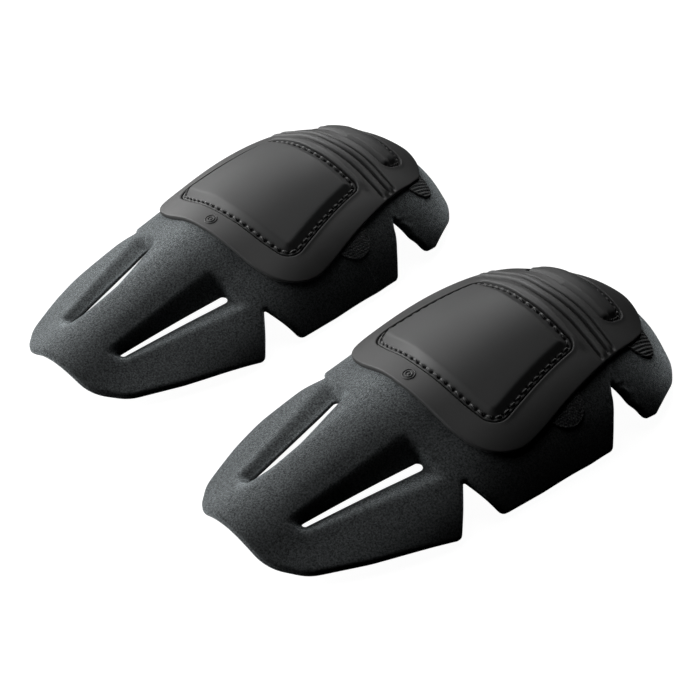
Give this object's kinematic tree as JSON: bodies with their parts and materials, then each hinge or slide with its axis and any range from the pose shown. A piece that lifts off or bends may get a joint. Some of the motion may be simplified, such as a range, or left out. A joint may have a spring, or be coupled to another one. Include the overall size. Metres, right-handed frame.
{
  "type": "knee guards",
  "caption": "Pair of moulded foam knee guards with slotted shin sections, notched side wings and a flexible ribbed outer cap with stitched panels.",
  "frame": {"origin": "centre of the base of the pair's bounding box", "axes": "+X towards the wearer's left guard, +Y towards the thigh ends, +Z out of the caps; the pair lies caps up"},
  "size_m": [0.3206, 0.2546, 0.0544],
  "materials": {
    "foam_fabric": "black brushed fabric laminated to moulded foam, fine speckled grain",
    "cap_rubber": "moulded charcoal rubber, soft satin",
    "panel_rubber": "moulded charcoal rubber, matte, bevelled edge",
    "shock_foam": "firm grey foam, hidden behind the knee panel",
    "thread": "black bonded thread",
    "hook_patch": "black hook-fastener tape"
  },
  "bodies": {
    "root": {"left_knee_foam": "foam_fabric", "left_cap_frame": "cap_rubber", "left_cap_plug": "cap_rubber", "left_shock_pad": "shock_foam", "left_knee_panel": "panel_rubber", "left_knee_stitching": "thread", "left_shin_flex_band": "foam_fabric", "left_thigh_flex_band": "foam_fabric", "left_cap_ribs": "cap_rubber", "left_side_patch_outer": "hook_patch", "left_side_patch_inner": "hook_patch", "right_knee_foam": "foam_fabric", "right_cap_frame": "cap_rubber", "right_cap_plug": "cap_rubber", "right_shock_pad": "shock_foam", "right_knee_panel": "panel_rubber", "right_knee_stitching": "thread", "right_shin_flex_band": "foam_fabric", "right_thigh_flex_band": "foam_fabric", "right_cap_ribs": "cap_rubber", "right_side_patch_outer": "hook_patch", "right_side_patch_inner": "hook_patch"},
    "left_thigh": {"left_thigh_foam": "foam_fabric", "left_cap_thigh": "cap_rubber", "left_thigh_panel": "panel_rubber", "left_thigh_stitching": "thread", "left_upper_patch_outer": "hook_patch", "left_upper_patch_inner": "hook_patch"},
    "left_shin": {"left_shin_foam": "foam_fabric"},
    "right_thigh": {"right_thigh_foam": "foam_fabric", "right_cap_thigh": "cap_rubber", "right_thigh_panel": "panel_rubber", "right_thigh_stitching": "thread", "right_upper_patch_outer": "hook_patch", "right_upper_patch_inner": "hook_patch"},
    "right_shin": {"right_shin_foam": "foam_fabric"}
  },
  "joints": [
    {"name": "left_thigh_flex", "type": "hinge", "parent": "root", "child": "left_thigh", "pos_m": [0.09009, 0.05944, 0.02775], "axis": [-1, 0, 0], "range_deg": [-5, 20], "stiffness_Nm_per_rad": 2.5, "deforming": ["left_thigh_flex_band", "left_cap_ribs"]},
    {"name": "left_shin_flex", "type": "hinge", "parent": "root", "child": "left_shin", "pos_m": [0.09009, -0.03067, 0.02082], "axis": [1, 0, 0], "range_deg": [-8, 15], "stiffness_Nm_per_rad": 2.5, "deforming": ["left_shin_flex_band"]},
    {"name": "right_thigh_flex", "type": "hinge", "parent": "root", "child": "right_thigh", "pos_m": [-0.09161, 0.0661, 0.02775], "axis": [-0.9963, -0.0854, 0], "range_deg": [-5, 20], "stiffness_Nm_per_rad": 2.5, "deforming": ["right_thigh_flex_band", "right_cap_ribs"]},
    {"name": "right_shin_flex", "type": "hinge", "parent": "root", "child": "right_shin", "pos_m": [-0.08392, -0.02368, 0.02082], "axis": [0.9963, 0.0854, 0], "range_deg": [-8, 15], "stiffness_Nm_per_rad": 2.5, "deforming": ["right_shin_flex_band"]}
  ]
}
